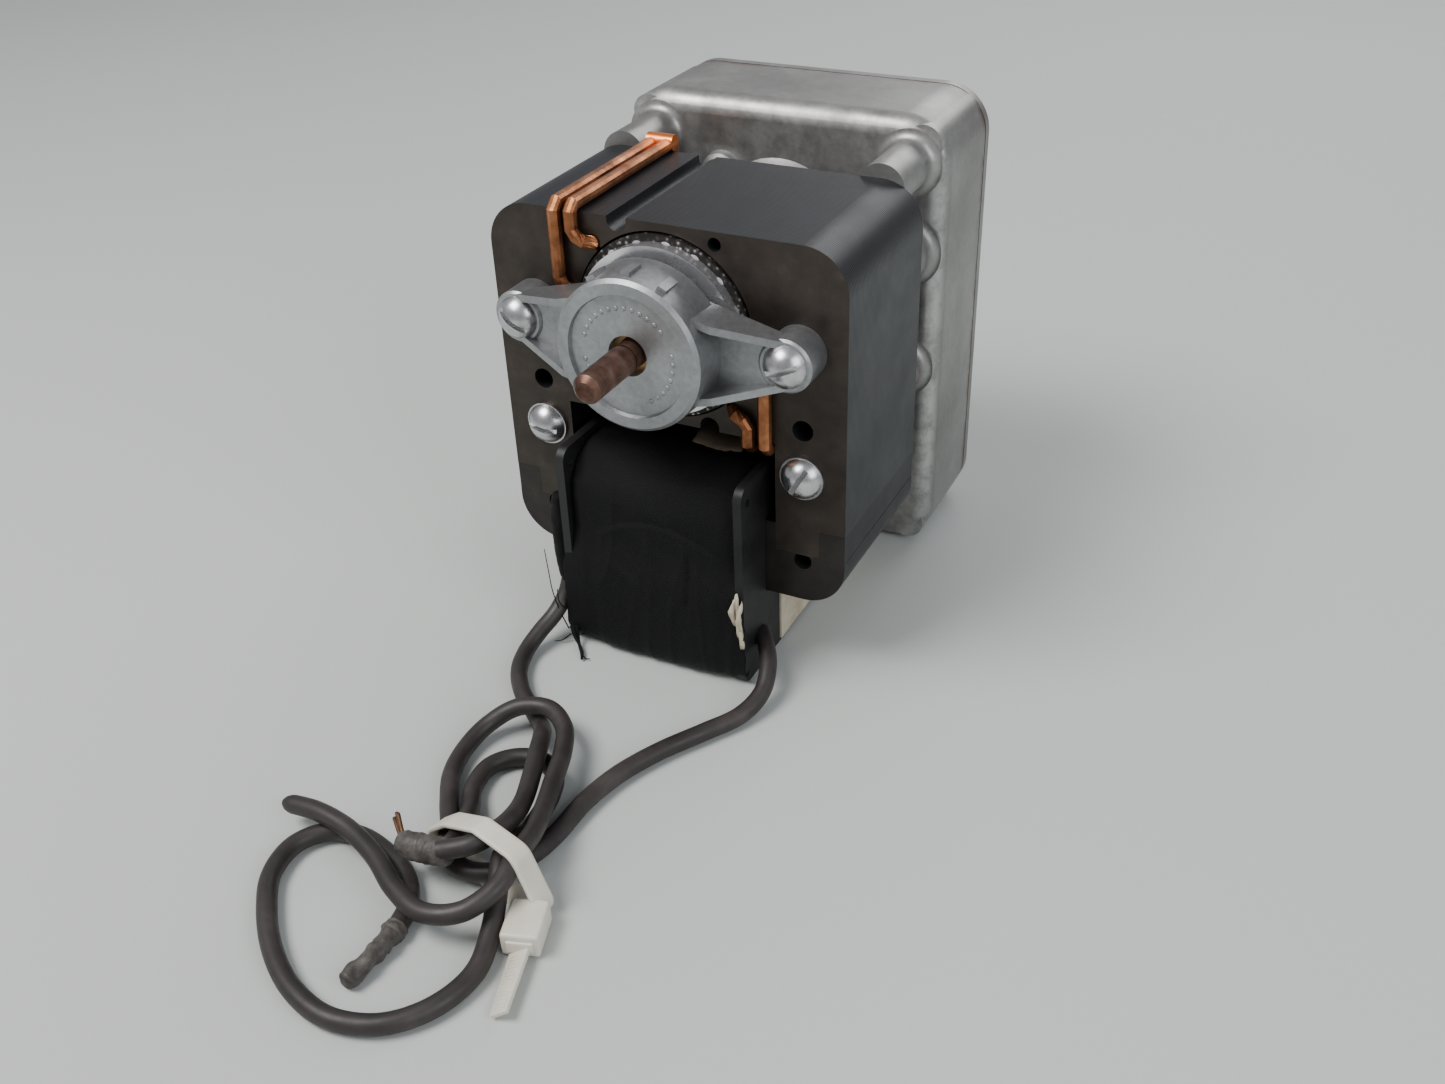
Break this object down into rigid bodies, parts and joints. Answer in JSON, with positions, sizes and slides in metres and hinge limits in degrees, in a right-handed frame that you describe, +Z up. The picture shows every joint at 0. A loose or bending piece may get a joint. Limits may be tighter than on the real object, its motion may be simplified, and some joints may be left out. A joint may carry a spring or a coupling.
{
  "type": "roller shutter gear motor",
  "caption": "Shaded-pole gear motor: square lamination stack with a taped coil below, open bearing bracket, rear spur gearbox, offset output shaft and two lead wires.",
  "frame": {"origin": "on the surface that the motor stands on, below the middle of its length from the tip of the motor shaft to the tip of the output shaft", "axes": "+X to the motor's right seen from the bracket end, +Y from the front bracket towards the gearbox and output shaft, +Z up"},
  "size_m": [0.0863, 0.251, 0.1115],
  "materials": {
    "bobbin_plastic": "moulded coil former, matte black",
    "bracket_zinc": "die-cast alloy, light satin grey",
    "bronze": "sintered bronze",
    "cage_aluminium": "die-cast aluminium cage",
    "cast_housing": "die-cast alloy, satin grey, worn at the edges",
    "cloth_tape": "black woven tape, matte",
    "copper_rod": "bare copper rod, aged, with bright braze",
    "copper_wire": "enamelled copper winding",
    "felt": "oil felt",
    "fibre": "laminated fibre, tan",
    "gasket": "oiled paper gasket",
    "gear_steel": "machined steel, oiled",
    "insulating_paper": "cream insulating paper, matte",
    "lamination": "varnished sheet-steel stack, satin, brown-black",
    "lamination_dark": "varnished sheet-steel stack, satin, charcoal",
    "lead_rubber": "rubber sleeving over the lead wire, dark brown-grey, dull",
    "lead_wrap": "grey tape round the bared end of the lead",
    "output_steel": "ground steel shaft",
    "plated_screw": "zinc-plated steel",
    "rotor_steel": "ground sheet-steel rotor core",
    "spring_steel": "blackened spring steel",
    "tie_nylon": "nylon, ivory",
    "worn_shaft": "ground steel shaft, tarnished brown"
  },
  "bodies": {
    "motor_frame": {"stator_core": "lamination", "coil_core": "lamination_dark", "coil_bobbin": "bobbin_plastic", "coil_winding": "copper_wire", "coil_paper": "insulating_paper", "coil_tape": "cloth_tape", "paper_flap": "insulating_paper", "window_paper": "insulating_paper", "splice_wrap": "cloth_tape", "shading_rings_upper": "copper_rod", "shading_rings_lower": "copper_rod", "front_bracket": "bracket_zinc", "front_bush": "bronze", "oil_felt": "felt", "felt_retainer": "gear_steel", "bracket_screws": "plated_screw", "stator_screws": "plated_screw", "lock_washers": "plated_screw", "gearbox_housing": "cast_housing", "rear_bush": "bronze", "gearbox_gasket": "gasket", "gearbox_cover": "cast_housing", "cover_screws": "plated_screw", "first_pin": "gear_steel", "second_pin": "gear_steel", "pin_clips": "spring_steel", "gear_washers": "fibre", "output_washers": "plated_screw", "output_front_bush": "bronze", "output_rear_bush": "bronze", "lead_right": "lead_rubber", "lead_left": "lead_rubber", "lead_joint": "lead_rubber", "lead_splice": "lead_wrap", "lead_end": "lead_wrap", "cable_tie": "tie_nylon"},
    "rotor": {"rotor_core": "rotor_steel", "rotor_cage": "cage_aluminium", "motor_shaft": "worn_shaft", "rotor_spacers": "gear_steel", "motor_pinion": "gear_steel"},
    "first_gear": {"first_wheel": "fibre", "first_pinion": "gear_steel"},
    "second_gear": {"second_wheel": "gear_steel", "second_pinion": "gear_steel"},
    "output": {"output_gear": "gear_steel", "output_shaft": "output_steel", "output_key": "gear_steel", "output_ring": "spring_steel"}
  },
  "joints": [
    {"name": "output_spin", "type": "hinge", "parent": "motor_frame", "child": "output", "pos_m": [0, 0, 0.02724], "axis": [0, 1, 0], "continuous": true},
    {"name": "second_gear_spin", "type": "hinge", "parent": "motor_frame", "child": "second_gear", "pos_m": [0.01385, 0, 0.05385], "axis": [0, 1, 0], "continuous": true},
    {"name": "first_gear_spin", "type": "hinge", "parent": "motor_frame", "child": "first_gear", "pos_m": [-0.013, 0, 0.05665], "axis": [0, 1, 0], "continuous": true},
    {"name": "motor_spin", "type": "hinge", "parent": "motor_frame", "child": "rotor", "pos_m": [0, 0, 0.08054], "axis": [0, 1, 0], "continuous": true}
  ],
  "couplings": [
    {"joint": "second_gear_spin", "follows": "output_spin", "ratio": -3},
    {"joint": "first_gear_spin", "follows": "output_spin", "ratio": 10.5},
    {"joint": "motor_spin", "follows": "output_spin", "ratio": -49}
  ]
}
